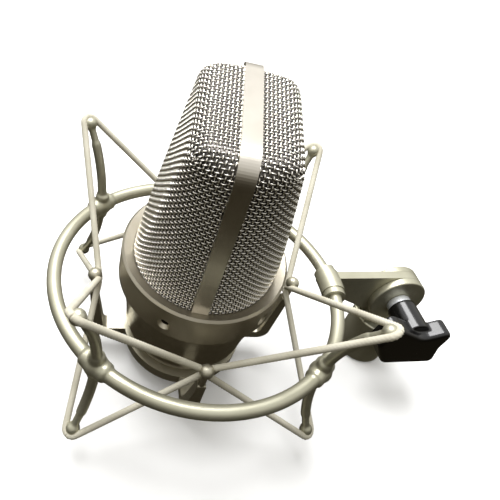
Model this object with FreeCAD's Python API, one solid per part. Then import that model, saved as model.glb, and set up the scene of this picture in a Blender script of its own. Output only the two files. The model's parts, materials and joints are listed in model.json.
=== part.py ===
import FreeCAD, Part
import math
import os

from FreeCAD import Placement, Rotation, Vector

# Side-address microphone with a wedge-shaped woven grille, hung by two elastic loops in a ring-and-strut
# suspension that tilts on a stand adaptor. Lengths in millimetres, angles in degrees.
# Part frame: +Z up, +X from the microphone towards the stand, origin at the mouth of the stand thread.

# --- stand adaptor and swivel clamp -------------------------------------------------------------------
ADAPTOR_R = 11.0
ADAPTOR_SHOULDER = 23.6        # height at which the round body ends and the two ears begin
SWIVEL_HEIGHT = 37.5           # swivel axis above the thread mouth
ADAPTOR_ROUND = 0.8
ADAPTOR_THREAD_LENGTH = 17.6
EAR_R = 12.3
EAR_THICK = 3.0
EAR_ROUND = 0.7
EAR_STEM_HALF = 9.7
EAR_ROOT = 5.0                 # the ears reach this far into the socket
SLOT_CLEARANCE = 0.6           # under the arm's disc
ARM_THICK = 3.8
EAR_GAP = 0.1                  # running gap between the arm's disc and each ear
ADAPTOR_THREAD_R = 7.94        # 5/8 inch stand thread, major radius
INSERT_THREAD_R = 4.76         # 3/8 inch stand thread, major radius
INSERT_LENGTH = 13.0
INSERT_SLOT = 1.6
INSERT_SLOT_DEPTH = 1.4
BOLT_R = 3.0
BOLT_HEAD_R = 5.4
BOLT_HEAD_H = 2.6
BOLT_HEAD_ROUND = 1.4
BOLT_SOCKET_R = 1.5
BOLT_SOCKET_DEPTH = 1.6
RUNNING_GAP = 0.05             # radial clearance of every running fit
COLLAR_R = 5.1                 # plated collar under the knob
COLLAR_H = 3.0
COLLAR_ROUND = 0.5
HUB_R = 5.9
HUB_LENGTH = 10.0
WING_THICK = 8.0
WING_ROUND = 1.6
BUSHING_R = 4.3
BORE_RUNOUT = 1.5              # the knob's bore ends this far into the wings
# Outline of the knob's wings round the screw axis: (across, up, corner radius)
WING_OUTLINE = (
    (-15.6, 9.6, 3.0),
    (-18.4, -2.0, 4.5),
    (-10.8, -14.6, 3.0),
    (14.6, -15.4, 2.6),
    (12.6, -5.0, 6.0),
    (14.4, 6.6, 3.0),
    (1.0, 1.6, 8.0),
)

# --- suspension frame ---------------------------------------------------------------------------------
RING_R = 54.2                  # ring centreline
RING_TUBE_R = 2.4
SWIVEL_REACH = 89.4            # ring centre to swivel axis
RING_RISE = 8.9                # ring plane above the swivel axis
STRUT_PHASE = -5.0             # the strut pattern is turned this far from the bracket
STRUT_R = 1.65
STRUT_TOP = (64.5, 33.8)       # (radius, height) of a strut's upper ball
STRUT_BOTTOM = (61.4, -32.0)
STRUT_BALL_R = 2.35
STRUT_NECK_R = 1.25
STRUT_NECK_LENGTH = 7.5
KNUCKLE_R = 3.9
KNUCKLE_CUFF_R = 3.3
KNUCKLE_CUFF_SWEEP = 10.5      # degrees of ring held by a knuckle
STRUT_CUFF_R = 2.5
STRUT_CUFF_LENGTH = 5.6
SLEEVE_R = 4.7
SLEEVE_SWEEP = 9.5
SLEEVE_CUFF_R = 4.3
SLEEVE_CUFF_SWEEP = 15.0
SLEEVE_AZIMUTH = -2.5          # the sleeve sits a little to one side of the arm
ARM_SLEEVE_TOP = 3.1           # arm's upper and lower edge at the sleeve, from the ring plane
ARM_SLEEVE_BOTTOM = -5.2
ARM_CORNER = 0.5
ARM_HEEL = 4.15                # lower edge meets the disc this far short of the pivot
ARM_HEEL_LIFT = 0.9

# --- cradle -------------------------------------------------------------------------------------------
CRADLE_BALL_RADIUS = 38.3      # ball centres from the microphone axis
CRADLE_BALL_R = 2.6
CRADLE_NECK_R = 1.3
CRADLE_NECK_LENGTH = 9.0
ARM_TOP_SIZE = 3.0             # square section under the neck
ARM_FOOT_RADIAL = 3.8
ARM_FOOT_WIDTH = 6.0
ARM_FOOT_RADIUS = 35.2
ARM_BAR_TOP = -32.6
ARM_BAR_H = 4.4
CRADLE_RING_R = 24.6
CRADLE_RING_H = 5.0
CRADLE_RING_LOW = -37.3
ARM_ROOT = 3.0                 # an arm reaches this far into the cradle's ring
ARM_EDGE = 0.7
ARM_INNER_BEND = 2.0
ARM_OUTER_BEND = 5.0
NECK_OVERLAP = 0.5             # a neck reaches this far into its arm
ELASTIC_R = 1.15
HOOK_GAP = 0.15                # between a cord's surface and the neck it goes round
ELBOW_SWELL = 0.05             # the cord bulges this much where it bends round a neck
STRUT_HOOK_DROP = 1.1          # cord centre beyond the ball it hooks over, along the neck
ARM_HOOK_DROP = 1.3
LOOP_SPACING = 2.6             # the lower loop sits this far below the upper one on an arm
PAD_R = 19.5                   # rubber ring between the cradle and the microphone's base

# --- how the microphone hangs in the ring -------------------------------------------------------------
HANG_OFFSET = Vector(-1.3, 0.8, 0.0)
LEAN_ANGLE = 5.5
LEAN_AXIS_AZIMUTH = -24.0
HEAD_TURN = -15.1              # turn of the grille band about the microphone axis

# --- microphone housing (heights from the ring centre, along the microphone axis) ----------------------
BODY_R = 30.0
COLLAR_BASE = 3.0
COLLAR_TOP = 17.4
COLLAR_RIM_DROP = 1.2          # the top face falls this much towards the grille
COLLAR_INNER_R = 27.4
COLLAR_BEVEL = 0.8
SHELL_WALL = 1.6
SHELL_HEEL = 1.28              # the wall is this thick at the bottom bend
SHELL_OUTLINE = (              # (radius, height) down the tapered housing
    (29.2, 3.0), (28.9, 1.0), (27.0, -7.0), (25.5, -15.0), (24.7, -24.0), (22.6, -29.6), (20.4, -31.4),
)
HEAD_R = 25.8
HEAD_FOOT = 13.0
WEDGE_START = 15.6
HEAD_TOP = 80.0
HEAD_TOP_HALF = 15.0
HEAD_EDGE_ROUND = 4.4          # along the wedge's top edges
HEAD_END_ROUND = 8.0           # over the narrow ends
HEAD_FOOT_ROUND = 1.0
HEAD_MARGIN = 5.0              # cutting solids reach this far beyond the head
GRILLE_WALL = 1.0
SCREEN_INSET = 1.7
SCREEN_WALL = 0.4
BAND_HALF = 2.75
BAND_PROUD = 0.9
BAND_DEPTH = 2.4
BAND_FIT = 0.02                # between the band's foot and the collar's bore
BAND_LIFT = 0.45               # the proud part of the band starts this far above the collar
STEM_R = 13.0
STEM_BORE_R = 9.3
STEM_BOTTOM = -45.0
STEM_BEVEL = 0.8
BASE_TOP = -28.6
LOCK_RING_R = 21.0
LOCK_RING_H = 5.0
LOCK_WASHER_H = 1.2
LOCK_NOTCHES = 24
LOCK_NOTCH_R = 0.7
LOCK_NOTCH_OUT = 0.25          # notch centres outside the ring's edge
LOCK_BEVEL = 0.7
HOUSING_SCREWS = ((-126.0, 8.6), (-54.0, 8.6))   # (azimuth, height) of the two visible screws
HOUSING_SCREW_R = 1.5
SCREW_SINK_R = 2.6             # countersink at the surface
SCREW_SINK_H = 1.4
SCREW_DEPTH = 1.3              # screw heads lie this far below the surface
SCREW_REACH = 3.0              # and end this far inside the collar's bore
SCREW_SLOT_HALF = 0.25
SCREW_SLOT_DEPTH = 0.6
COLLAR_FOOT_BEVEL = 0.4
COLLAR_FIT = 0.05              # between the grille and the collar's rim

# --- ribbon motor and electronics ---------------------------------------------------------------------
DECK_TOP = 14.4
DECK_H = 2.4
RIBBON_LENGTH = 46.0
RIBBON_WIDTH = 4.6
RIBBON_THICK = 0.12
RIBBON_PITCH = 1.6
RIBBON_DEPTH = 0.8
MOTOR_BASE = 21.0
MAGNET_WIDTH = 8.0
MAGNET_DEPTH = 9.0
POLE_WIDTH = 2.6
POLE_DEPTH = 5.0
FRAME_WALL = 3.0
FRAME_DEPTH = 9.0
RIBBON_GAP = 0.4
CORE_H = 21.0
MOUNT_HALF = 5.0
LEAD_R = 0.5
LEAD_X = 8.0
LEAD_Y = 10.0
LEAD_DROP = 1.2                # leads meet the mount this far below its top
LEAD_HOLE_R = 2.0
POLE_TAPER_IN = 1.2
POLE_TAPER_OUT = 0.8
POLE_END_GAP = 3.2
CLAMP_H = 3.0
CLAMP_DEPTH = 3.6
CLAMP_SLOT = 0.25              # between a jaw and the ribbon's folds
CLAMP_SCREW_R = 1.3
CLAMP_SCREW_HEAD = 1.0
CLAMP_SCREW_Y = 3.9
MOUNT_H = 2.5
MOUNT_SCREW_R = 1.25
BUSH_R = 3.4
BUSH_BORE_R = 1.3
BUSH_Y = 9.0
RAIL_R = 1.8
RAIL_RADIUS = 17.5
CORE_HALF = 9.0
CORE_BACK = 0.5
CORE_FRONT = 12.5
CORE_YOKE = 4.5
CORE_WINDOW_W = 4.5
CORE_WINDOW_H = 12.0
LIMB_HALF = 2.5
COIL_HALF = 6.4
COIL_BACK = -3.6
COIL_FRONT = 16.6
COIL_GAP = 0.1
PLINTH_H = 1.0                 # under the transformer and the circuit board
BOARD_HALF = 13.5
BOARD_OUTER = -6.4
BOARD_INNER = -4.8
BOARD_TOP_GAP = 2.0
CAPACITORS = (                 # (x, height on the board, radius, length)
    (-8.0, 8.0, 3.2, 7.0), (0.0, 9.0, 2.6, 6.0), (8.0, 8.0, 3.2, 7.0),
    (-6.0, 28.0, 2.2, 5.0), (6.0, 28.0, 2.2, 5.0),
)
RESISTOR_R = 0.9
RESISTOR_X = (-9.0, -3.0, 3.0, 9.0)
RESISTOR_LOW = 15.0
RESISTOR_LENGTH = 6.0


def at(x, y, z, turn=0.0):
    """A placement at a point, turned about Z."""
    return Placement(Vector(x, y, z), Rotation(Vector(0, 0, 1), turn))


RING_FRAME = at(-SWIVEL_REACH, 0, SWIVEL_HEIGHT + RING_RISE)
SWIVEL_FRAME = at(0, 0, SWIVEL_HEIGHT)
LEAN_AXIS = Rotation(Vector(0, 0, 1), LEAN_AXIS_AZIMUTH).multVec(Vector(1, 0, 0))
HANG_FRAME = RING_FRAME.multiply(Placement(HANG_OFFSET, Rotation(LEAN_AXIS, LEAN_ANGLE)))
HEAD_FRAME = HANG_FRAME.multiply(at(0, 0, 0, HEAD_TURN))


def export(name, shape, frame):
    """Write one sub-part, moved from the frame it was drawn in to the part frame."""
    placed = shape.copy()
    placed.Placement = frame.multiply(placed.Placement)
    if not placed.isValid():
        print("NOT VALID", name)
    placed.exportStep("parts/%s.step" % name)


def polar(radius, azimuth, z=0.0):
    a = math.radians(azimuth)
    return Vector(radius * math.cos(a), radius * math.sin(a), z)


def spin(shape, azimuth):
    """A copy turned about Z."""
    turned = shape.copy()
    turned.rotate(Vector(0, 0, 0), Vector(0, 0, 1), azimuth)
    return turned


def tube(r_out, r_in, z_low, z_high):
    outer = Part.makeCylinder(r_out, z_high - z_low, Vector(0, 0, z_low))
    return outer.cut(Part.makeCylinder(r_in, z_high - z_low, Vector(0, 0, z_low)))


def rod(radius, start, end):
    way = end - start
    return Part.makeCylinder(radius, way.Length, start, way)


def pipe(arc, radius):
    """Round bar along an arc."""
    start = arc.FirstParameter
    circle = Part.makeCircle(radius, arc.value(start), arc.tangent(start)[0])
    return Part.Wire(arc.toShape()).makePipe(Part.Face(Part.Wire(circle)))


def box(x_low, x_high, y_low, y_high, z_low, z_high):
    return Part.makeBox(x_high - x_low, y_high - y_low, z_high - z_low, Vector(x_low, y_low, z_low))


def corner_arc(before, here, after, radius):
    """Start, middle and end of the arc that rounds a corner, tangent to both of its runs."""
    back = (before - here).normalize()
    ahead = (after - here).normalize()
    half = back.getAngle(ahead) / 2
    reach = radius / math.tan(half)
    middle = here + (back + ahead).normalize() * (radius / math.sin(half) - radius)
    return here + back * reach, middle, here + ahead * reach


def rounded_loop(corners):
    """A closed wire through (point, radius) corners, each rounded by a tangent arc."""
    count = len(corners)
    arcs = []
    for i, (here, radius) in enumerate(corners):
        arcs.append(corner_arc(corners[i - 1][0], here, corners[(i + 1) % count][0], radius))
    edges = []
    for i, (start, middle, end) in enumerate(arcs):
        edges.append(Part.makeLine(arcs[i - 1][2], start))
        edges.append(Part.Arc(start, middle, end).toShape())
    return Part.Wire(edges)


def plate(corners, y_low, y_high):
    """A rounded outline in the XZ plane, extruded along Y."""
    face = Part.Face(rounded_loop([(Vector(x, 0, z), radius) for x, z, radius in corners]))
    face.translate(Vector(0, y_low, 0))
    return face.extrude(Vector(0, y_high - y_low, 0))


def revolve(outline):
    """A solid of revolution about Z from a closed (radius, height) outline."""
    points = [Vector(r, 0, z) for r, z in outline]
    face = Part.Face(Part.makePolygon(points + points[:1]))
    return face.revolve(Vector(0, 0, 0), Vector(0, 0, 1), 360)


def ring_sector(radius, azimuth, sweep):
    """A length of round bar that follows the ring, centred on an azimuth."""
    circle = Part.makeCircle(radius, Vector(RING_R, 0, 0), Vector(0, 1, 0))
    sector = Part.Face(Part.Wire(circle)).revolve(Vector(0, 0, 0), Vector(0, 0, 1), sweep)
    return spin(sector, azimuth - sweep / 2)


# --- stand adaptor ------------------------------------------------------------------------------------
EAR_INNER = ARM_THICK / 2 + EAR_GAP
EAR_OUTER = EAR_INNER + EAR_THICK


def stand_adaptor():
    """Round socket with the stand thread below and two ears above, one piece."""
    low = -SWIVEL_HEIGHT
    body = Part.makeCylinder(ADAPTOR_R, ADAPTOR_SHOULDER, Vector(0, 0, low))
    body = body.makeFillet(ADAPTOR_ROUND, [e for e in body.Edges if len(e.Vertexes) == 1])
    ear_foot = low + ADAPTOR_SHOULDER - EAR_ROOT
    for side in (-1, 1):
        y_low = min(side * EAR_INNER, side * EAR_OUTER)
        disc = Part.makeCylinder(EAR_R, EAR_THICK, Vector(0, y_low, 0), Vector(0, 1, 0))
        rim = [e for e in disc.Edges if len(e.Vertexes) == 1 and abs(e.CenterOfMass.y) > EAR_OUTER - 0.1]
        disc = disc.makeFillet(EAR_ROUND, rim)
        stem = box(-EAR_STEM_HALF, EAR_STEM_HALF, y_low, y_low + EAR_THICK, ear_foot, 0)
        body = body.fuse(disc).fuse(stem)
    reach = EAR_R + SLOT_CLEARANCE
    slot = box(-2 * EAR_R, 2 * EAR_R, -EAR_INNER, EAR_INNER, -reach, reach)
    thread = Part.makeCylinder(ADAPTOR_THREAD_R, ADAPTOR_THREAD_LENGTH, Vector(0, 0, low))
    bolt_hole = Part.makeCylinder(BOLT_R, 4 * EAR_OUTER, Vector(0, -2 * EAR_OUTER, 0), Vector(0, 1, 0))
    return body.cut(slot).cut(thread).cut(bolt_hole).removeSplitter()


def thread_insert():
    """Slotted bushing that reduces the large stand thread to the small one."""
    low = -SWIVEL_HEIGHT
    bushing = Part.makeCylinder(ADAPTOR_THREAD_R, INSERT_LENGTH, Vector(0, 0, low))
    bushing = bushing.cut(Part.makeCylinder(INSERT_THREAD_R, INSERT_LENGTH, Vector(0, 0, low)))
    half = INSERT_SLOT / 2
    slot = box(-ADAPTOR_R, ADAPTOR_R, -half, half, low, low + INSERT_SLOT_DEPTH)
    return bushing.cut(slot)


def clamp_bolt():
    """Round-headed bolt through both ears; its free end carries the knob."""
    end = -(EAR_OUTER + COLLAR_H + HUB_LENGTH)
    shank = rod(BOLT_R, Vector(0, EAR_OUTER, 0), Vector(0, end, 0))
    head = Part.makeCylinder(BOLT_HEAD_R, BOLT_HEAD_H, Vector(0, EAR_OUTER, 0), Vector(0, 1, 0))
    top = EAR_OUTER + BOLT_HEAD_H
    outer = [e for e in head.Edges if len(e.Vertexes) == 1 and abs(e.CenterOfMass.y - top) < 0.01]
    head = head.makeFillet(BOLT_HEAD_ROUND, outer)
    socket = rod(BOLT_SOCKET_R, Vector(0, top - BOLT_SOCKET_DEPTH, 0), Vector(0, top, 0))
    return shank.fuse(head).cut(socket)


KNOB_FOOT = -(EAR_OUTER + COLLAR_H)
KNOB_BACK = KNOB_FOOT - HUB_LENGTH
KNOB_FRONT = KNOB_BACK - WING_THICK
BORE_END = KNOB_BACK - BORE_RUNOUT


def knob_collar():
    collar = rod(COLLAR_R, Vector(0, -EAR_OUTER, 0), Vector(0, KNOB_FOOT, 0))
    collar = collar.makeFillet(COLLAR_ROUND, [e for e in collar.Edges if len(e.Vertexes) == 1])
    return collar.cut(rod(BOLT_R + RUNNING_GAP, Vector(0, 0, 0), Vector(0, KNOB_FRONT, 0)))


def knob_bushing():
    """Threaded metal sleeve moulded into the knob."""
    sleeve = rod(BUSHING_R, Vector(0, KNOB_FOOT, 0), Vector(0, BORE_END, 0))
    return sleeve.cut(rod(BOLT_R + RUNNING_GAP, Vector(0, KNOB_FOOT, 0), Vector(0, BORE_END, 0)))


def clamp_knob():
    """Moulded hub with broad wings."""
    wing = plate(WING_OUTLINE, KNOB_FRONT, KNOB_BACK)
    wing = wing.makeFillet(WING_ROUND, [e for e in wing.Edges if abs(e.CenterOfMass.y - KNOB_FRONT) < 0.01])
    hub = rod(HUB_R, Vector(0, KNOB_FOOT, 0), Vector(0, KNOB_BACK - WING_THICK / 2, 0))
    return hub.fuse(wing).cut(rod(BUSHING_R, Vector(0, 0, 0), Vector(0, BORE_END, 0)))


# --- suspension frame ---------------------------------------------------------------------------------
STRUT_AZIMUTHS = [STRUT_PHASE + 45 + 90 * k for k in range(4)]
ARM_AZIMUTHS = [STRUT_PHASE + 90 * k for k in range(4)]


def strut_arc():
    """Centreline of a strut in the XZ plane, bowed through the ring's centreline."""
    top = Vector(STRUT_TOP[0], 0, STRUT_TOP[1])
    bottom = Vector(STRUT_BOTTOM[0], 0, STRUT_BOTTOM[1])
    return Part.Arc(bottom, Vector(RING_R, 0, 0), top)


def strut_end(upper):
    """Centre of one end ball, and the shoulder where the strut's neck starts."""
    arc = strut_arc()
    inset = STRUT_NECK_LENGTH / arc.length() * (arc.LastParameter - arc.FirstParameter)
    if upper:
        return arc.value(arc.LastParameter), arc.value(arc.LastParameter - inset)
    return arc.value(arc.FirstParameter), arc.value(arc.FirstParameter + inset)


def strut(azimuth):
    """Bowed rod with a necked ball at each end."""
    ends = [strut_end(False), strut_end(True)]
    solid = pipe(Part.Arc(ends[0][1], Vector(RING_R, 0, 0), ends[1][1]), STRUT_R)
    for ball, shoulder in ends:
        solid = solid.fuse(rod(STRUT_NECK_R, shoulder, ball))
        solid = solid.fuse(Part.makeSphere(STRUT_BALL_R, ball))
    return spin(solid, azimuth)


def knuckle(azimuth, ring, strut_solid):
    """Brazed joint that holds a strut against the ring."""
    solid = ring_sector(KNUCKLE_CUFF_R, azimuth, KNUCKLE_CUFF_SWEEP)
    solid = solid.fuse(Part.makeSphere(KNUCKLE_R, polar(RING_R, azimuth)))
    cuff_low = polar(RING_R, azimuth, -STRUT_CUFF_LENGTH)
    cuff = rod(STRUT_CUFF_R, cuff_low, polar(RING_R, azimuth, STRUT_CUFF_LENGTH))
    return solid.fuse(cuff).cut(ring).cut(strut_solid)


def bracket_arm():
    """Sleeve round the ring and a flat arm that ends in the swivel's disc, one casting."""
    sleeve = ring_sector(SLEEVE_R, SLEEVE_AZIMUTH, SLEEVE_SWEEP)
    sleeve = sleeve.fuse(ring_sector(SLEEVE_CUFF_R, SLEEVE_AZIMUTH, SLEEVE_CUFF_SWEEP))
    half = ARM_THICK / 2
    disc_z = -RING_RISE
    outline = (
        (RING_R, ARM_SLEEVE_TOP, ARM_CORNER),
        (SWIVEL_REACH, disc_z + EAR_R, ARM_CORNER),
        (SWIVEL_REACH - ARM_HEEL, disc_z - EAR_R + ARM_HEEL_LIFT, ARM_CORNER),
        (RING_R, ARM_SLEEVE_BOTTOM, ARM_CORNER),
    )
    arm = plate(outline, -half, half)
    disc = Part.makeCylinder(EAR_R, ARM_THICK, Vector(SWIVEL_REACH, -half, disc_z), Vector(0, 1, 0))
    pivot = Vector(SWIVEL_REACH, 0, disc_z)
    hole = rod(BOLT_R + RUNNING_GAP, pivot - Vector(0, ARM_THICK, 0), pivot + Vector(0, ARM_THICK, 0))
    bore = ring_sector(RING_TUBE_R, 0, 2 * SLEEVE_CUFF_SWEEP)
    return sleeve.fuse(arm).fuse(disc).cut(hole).cut(bore).removeSplitter()


# --- cradle -------------------------------------------------------------------------------------------
def cradle():
    """Cast ring with four upturned arms, each ending in a necked ball."""
    bar_low = ARM_BAR_TOP - ARM_BAR_H
    solid = tube(CRADLE_RING_R, STEM_R + RUNNING_GAP, CRADLE_RING_LOW, CRADLE_RING_LOW + CRADLE_RING_H)
    half = ARM_FOOT_WIDTH / 2
    foot_out = ARM_FOOT_RADIUS + ARM_FOOT_RADIAL / 2
    foot_in = ARM_FOOT_RADIUS - ARM_FOOT_RADIAL / 2
    neck_foot = -CRADLE_NECK_LENGTH
    top = ARM_TOP_SIZE / 2
    root = CRADLE_RING_R - ARM_ROOT
    blade = plate((
        (root, ARM_BAR_TOP, ARM_EDGE),
        (foot_in, ARM_BAR_TOP, ARM_INNER_BEND),
        (CRADLE_BALL_RADIUS - top, neck_foot, ARM_EDGE),
        (CRADLE_BALL_RADIUS + top, neck_foot, ARM_EDGE),
        (foot_out, bar_low, ARM_OUTER_BEND),
        (root, bar_low, ARM_EDGE),
    ), -half, half)
    tip = neck_foot + NECK_OVERLAP
    corners = [
        Vector(0, -half, CRADLE_RING_LOW),
        Vector(0, half, CRADLE_RING_LOW),
        Vector(0, half, ARM_BAR_TOP),
        Vector(0, top, tip),
        Vector(0, -top, tip),
        Vector(0, -half, ARM_BAR_TOP),
    ]
    taper = Part.Face(Part.makePolygon(corners + corners[:1]))
    blade = blade.common(taper.extrude(Vector(2 * CRADLE_BALL_RADIUS, 0, 0)))
    ball = Vector(CRADLE_BALL_RADIUS, 0, 0)
    neck = rod(CRADLE_NECK_R, ball - Vector(0, 0, CRADLE_NECK_LENGTH + NECK_OVERLAP), ball)
    arm = blade.fuse(neck).fuse(Part.makeSphere(CRADLE_BALL_R, ball))
    for azimuth in ARM_AZIMUTHS:
        solid = solid.fuse(spin(arm, azimuth))
    return solid.removeSplitter()


def cradle_pad():
    """Rubber ring that the microphone's base is pulled down on."""
    return tube(PAD_R, STEM_R + RUNNING_GAP, CRADLE_RING_LOW + CRADLE_RING_H, SHELL_OUTLINE[-1][1])


# --- elastic loops ------------------------------------------------------------------------------------
def strut_post(azimuth, upper):
    """Middle and axis of the neck that a loop passes round, in the ring frame."""
    ball, shoulder = strut_end(upper)
    axis = (ball - shoulder).normalize()
    turn = Rotation(Vector(0, 0, 1), azimuth)
    return turn.multVec(ball - axis * (STRUT_BALL_R + STRUT_HOOK_DROP)), turn.multVec(axis)


def cradle_post(azimuth, upper):
    """The same for an arm of the cradle, brought from the hanging frame to the ring frame."""
    drop = CRADLE_BALL_R + ARM_HOOK_DROP + (0 if upper else LOOP_SPACING)
    hang = RING_FRAME.inverse().multiply(HANG_FRAME)
    return hang.multVec(polar(CRADLE_BALL_RADIUS, azimuth, -drop)), hang.Rotation.multVec(Vector(0, 0, 1))


def touch_point(post, axis, target, outward, reach):
    """Where a straight run towards a target leaves the half turn round a neck."""
    way = target - post
    way = way - axis * way.dot(axis)
    side = axis.cross(way).normalize() * reach
    return post + (side if side.dot(outward) > 0 else side * -1)


def elastic_loop(upper):
    """Closed cord that zigzags between the struts and the cradle arms."""
    hooks = []
    for arm_azimuth, strut_azimuth in zip(ARM_AZIMUTHS, STRUT_AZIMUTHS):
        hooks.append((*cradle_post(arm_azimuth, upper), polar(-1, arm_azimuth), CRADLE_NECK_R))
        hooks.append((*strut_post(strut_azimuth, upper), polar(1, strut_azimuth), STRUT_NECK_R))
    bends = []
    for i, (post, axis, outward, neck_radius) in enumerate(hooks):
        reach = neck_radius + HOOK_GAP + ELASTIC_R
        before, after = hooks[i - 1][0], hooks[(i + 1) % len(hooks)][0]
        start = touch_point(post, axis, before, outward, reach)
        end = touch_point(post, axis, after, outward, reach)
        middle = post + (outward - axis * outward.dot(axis)).normalize() * reach
        bends.append((start, middle, end))
    loop = None
    for i, (start, middle, end) in enumerate(bends):
        bend = pipe(Part.Arc(start, middle, end), ELASTIC_R)
        run = rod(ELASTIC_R, end, bends[(i + 1) % len(bends)][0])
        elbows = [Part.makeSphere(ELASTIC_R + ELBOW_SWELL, point) for point in (start, end)]
        for piece in (elbows[0], bend, elbows[1], run):
            loop = loop.fuse(piece) if loop else piece
    return loop


# --- microphone housing -------------------------------------------------------------------------------
def body_collar():
    """Wide ring that the grille stands in; its top face falls slightly inwards."""
    rim = COLLAR_TOP - COLLAR_RIM_DROP
    outline = (
        (COLLAR_INNER_R, COLLAR_BASE),
        (BODY_R - COLLAR_FOOT_BEVEL, COLLAR_BASE),
        (BODY_R, COLLAR_BASE + COLLAR_FOOT_BEVEL),
        (BODY_R, COLLAR_TOP - COLLAR_BEVEL),
        (BODY_R - COLLAR_BEVEL, COLLAR_TOP),
        (HEAD_R + COLLAR_FIT, rim),
        (HEAD_R + COLLAR_FIT, DECK_TOP),
        (COLLAR_INNER_R, DECK_TOP),
    )
    solid = revolve(outline)
    for azimuth, height in HOUSING_SCREWS:
        solid = solid.cut(housing_screw_space(azimuth, height))
    return solid


def housing_screw_space(azimuth, height):
    """Screw hole through the collar's wall, with its countersink."""
    seat = polar(BODY_R - SCREW_DEPTH, azimuth, height)
    inner = polar(COLLAR_INNER_R - SCREW_REACH, azimuth, height)
    sink = Part.makeCone(HOUSING_SCREW_R, SCREW_SINK_R, SCREW_SINK_H, seat, polar(1, azimuth))
    return rod(HOUSING_SCREW_R, inner, polar(BODY_R, azimuth, height)).fuse(sink)


def housing_screws():
    """Two slotted screws that hold the housing tube to the deck, set below the surface."""
    screws = []
    for azimuth, height in HOUSING_SCREWS:
        top = BODY_R - SCREW_DEPTH
        inner = polar(COLLAR_INNER_R - SCREW_REACH, azimuth, height)
        shank = rod(HOUSING_SCREW_R, inner, polar(top, azimuth, height))
        reach = 2 * HOUSING_SCREW_R
        slot = box(top - SCREW_SLOT_DEPTH, top, -reach, reach, -SCREW_SLOT_HALF, SCREW_SLOT_HALF)
        slot.translate(Vector(0, 0, height))
        screws.append(shank.cut(spin(slot, azimuth)))
    return Part.makeCompound(screws)


def body_shell():
    """Tapered lower housing, open at the top and at the stem."""
    inner = [(r - SHELL_WALL, z) for r, z in SHELL_OUTLINE[:-2]]
    for r, z in SHELL_OUTLINE[-2:]:
        inner.append((r, z + SHELL_WALL))
    inner[-2] = (inner[-2][0] - SHELL_HEEL, inner[-2][1])
    return revolve(list(SHELL_OUTLINE) + inner[::-1])


def base_plug():
    """Bottom of the housing with the threaded stem that the cradle clamps."""
    r_low, z_low = SHELL_OUTLINE[-1]
    plug = Part.makeCylinder(r_low, BASE_TOP - z_low, Vector(0, 0, z_low))
    stem = Part.makeCylinder(STEM_R, z_low - STEM_BOTTOM, Vector(0, 0, STEM_BOTTOM))
    bore = Part.makeCylinder(STEM_BORE_R, BASE_TOP - STEM_BOTTOM, Vector(0, 0, STEM_BOTTOM))
    relief = Part.makeCone(STEM_BORE_R + STEM_BEVEL, STEM_BORE_R, STEM_BEVEL, Vector(0, 0, STEM_BOTTOM))
    return plug.fuse(stem).cut(bore).cut(relief).removeSplitter()


def lock_washer():
    top = CRADLE_RING_LOW
    return tube(LOCK_RING_R - 1, STEM_R + RUNNING_GAP, top - LOCK_WASHER_H, top)


def lock_ring():
    """Notched ring nut that pulls the microphone's base against the cradle."""
    top = CRADLE_RING_LOW - LOCK_WASHER_H
    low = top - LOCK_RING_H
    outline = (
        (STEM_R + RUNNING_GAP, low),
        (LOCK_RING_R - LOCK_BEVEL, low),
        (LOCK_RING_R, low + LOCK_BEVEL),
        (LOCK_RING_R, top - LOCK_BEVEL),
        (LOCK_RING_R - LOCK_BEVEL, top),
        (STEM_R + RUNNING_GAP, top),
    )
    nut = revolve(outline)
    notch = Part.makeCylinder(LOCK_NOTCH_R, LOCK_RING_H, Vector(LOCK_RING_R + LOCK_NOTCH_OUT, 0, low))
    notches = [spin(notch, k * 360 / LOCK_NOTCHES) for k in range(LOCK_NOTCHES)]
    return nut.cut(Part.makeCompound(notches))


# --- grille head: the band runs front to back over the top, in the YZ plane ----------------------------
def head_solid(inset):
    """Drum with a rounded top, cut by two inclined planes whose top edges are rounded."""
    slope = (HEAD_R - HEAD_TOP_HALF) / (HEAD_TOP - WEDGE_START)
    lean = math.hypot(1, slope)
    foot_half = HEAD_R - inset * lean + slope * (WEDGE_START - HEAD_FOOT)
    top_half = HEAD_TOP_HALF - inset * lean + slope * inset
    top = HEAD_TOP - inset
    edge_round = HEAD_EDGE_ROUND - inset / 2
    reach = HEAD_R + HEAD_MARGIN
    wedge = plate((
        (-foot_half, HEAD_FOOT, HEAD_FOOT_ROUND),
        (foot_half, HEAD_FOOT, HEAD_FOOT_ROUND),
        (top_half, top, edge_round),
        (-top_half, top, edge_round),
    ), -reach, reach)
    drum = Part.makeCylinder(HEAD_R - inset, top - HEAD_FOOT, Vector(0, 0, HEAD_FOOT))
    rim = [edge for edge in drum.Edges if len(edge.Vertexes) == 1 and edge.CenterOfMass.z > HEAD_FOOT]
    return drum.makeFillet(HEAD_END_ROUND - inset, rim).common(wedge)


def head_shell(inset, wall, side, edge):
    """One half of a thin head-shaped skin, from the band's flank outwards."""
    skin = head_solid(inset).cut(head_solid(inset + wall))
    reach = HEAD_R + HEAD_MARGIN
    low, high = (edge, reach) if side > 0 else (-reach, -edge)
    return skin.common(box(low, high, -reach, reach, DECK_TOP, HEAD_TOP + HEAD_MARGIN))


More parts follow.
